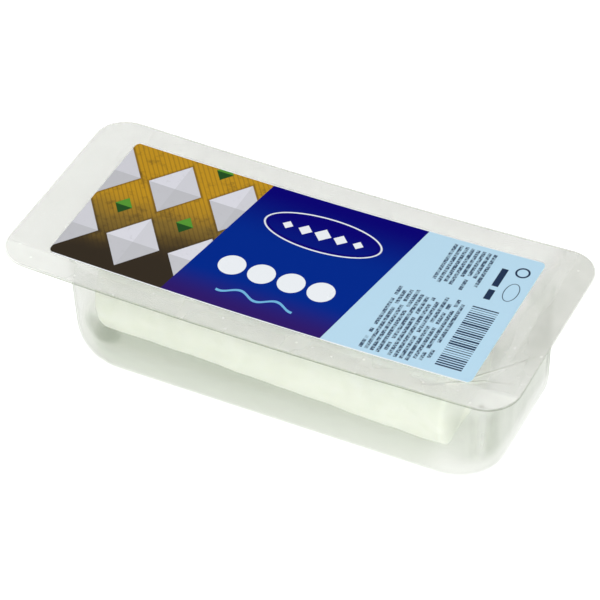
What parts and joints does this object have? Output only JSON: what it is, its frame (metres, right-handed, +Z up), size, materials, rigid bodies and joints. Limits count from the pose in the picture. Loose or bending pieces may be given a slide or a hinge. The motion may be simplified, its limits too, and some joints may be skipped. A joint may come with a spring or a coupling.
{
  "type": "packed cheese log",
  "caption": "Soft white cheese log sealed in a clear thermoformed tray with a wide flat rim, a clear lid film and a printed label on top.",
  "frame": {"origin": "centre of the pack's outline in plan, on the flat underside of the tray", "axes": "+X along the pack, from the wide rim end to the narrow one; +Y towards the back edge of the label; +Z up"},
  "size_m": [0.16, 0.071, 0.0402],
  "materials": {
    "clear_tray": "clear glossy thermoformed sheet with a faint grey haze",
    "clear_film": "clear film, slightly hazy, faint creases near the edges",
    "printed_label": "satin coated print in fields of blue, pale blue, ochre and white",
    "cheese": "moist soft white cheese, matt with a faint sheen"
  },
  "bodies": {
    "root": {"tray": "clear_tray", "lid_film": "clear_film", "label": "printed_label", "cheese_log": "cheese"}
  },
  "joints": []
}
